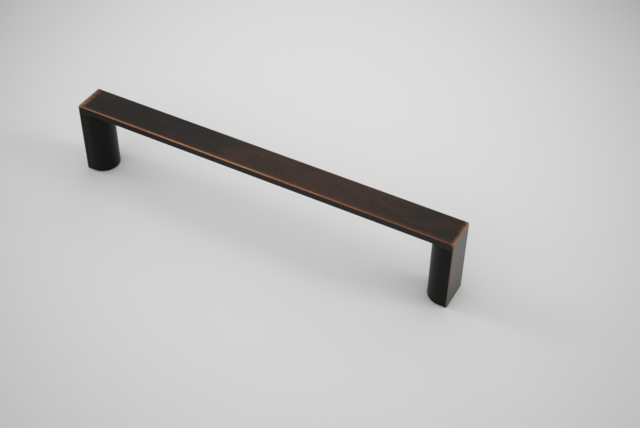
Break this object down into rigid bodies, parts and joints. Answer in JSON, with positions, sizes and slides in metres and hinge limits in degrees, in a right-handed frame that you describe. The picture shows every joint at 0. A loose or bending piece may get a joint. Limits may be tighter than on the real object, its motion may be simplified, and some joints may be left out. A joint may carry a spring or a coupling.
{
  "type": "bridge pull handle",
  "caption": "Flat-bar bridge pull for a cabinet door or drawer: a slim rectangular bar on legs with half-round inner faces, tapped from the back.",
  "frame": {"origin": "on the door's face, midway between the two screw holes, which is the middle of the plane that the feet stand on", "axes": "+X along the bar, +Y across the bar, +Z away from the door"},
  "size_m": [0.1366, 0.0114, 0.027],
  "materials": {
    "oil_rubbed_bronze": "satin"
  },
  "bodies": {
    "root": {"pull_handle": "oil_rubbed_bronze"}
  },
  "joints": []
}
